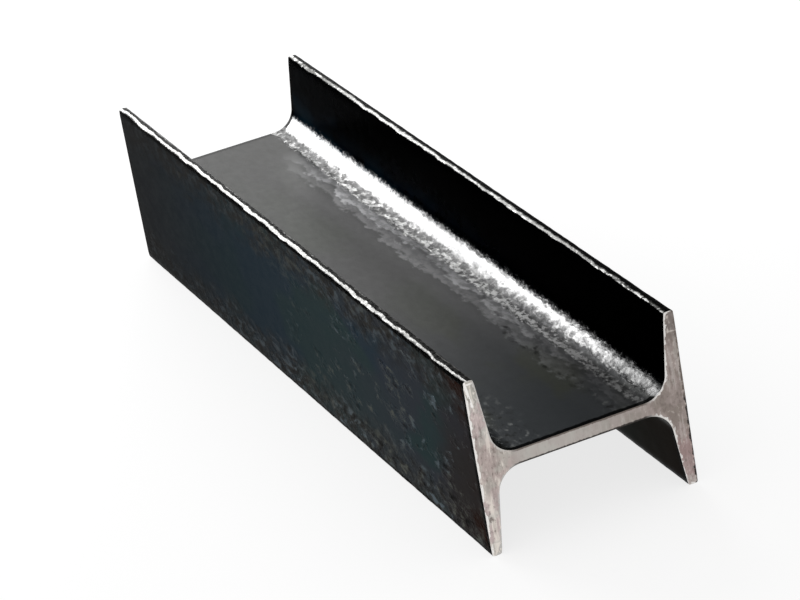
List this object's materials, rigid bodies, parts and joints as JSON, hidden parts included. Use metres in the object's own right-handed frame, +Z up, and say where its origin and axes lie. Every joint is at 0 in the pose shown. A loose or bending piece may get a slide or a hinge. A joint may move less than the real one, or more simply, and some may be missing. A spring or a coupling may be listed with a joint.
{
  "type": "steel h-beam",
  "caption": "Short length of hot-rolled steel beam with an H section: tapered flanges with rounded roots and almost square tips, a level web between them, and square sawn ends.",
  "frame": {"origin": "on the floor, under the middle of the beam as it stands on its flange tips", "axes": "+X along the beam, +Y across its depth from flange to flange, +Z up along the flanges"},
  "size_m": [0.635, 0.1524, 0.127],
  "materials": {
    "rolled_steel": "satin"
  },
  "bodies": {
    "root": {"steel_h_beam": "rolled_steel"}
  },
  "joints": []
}
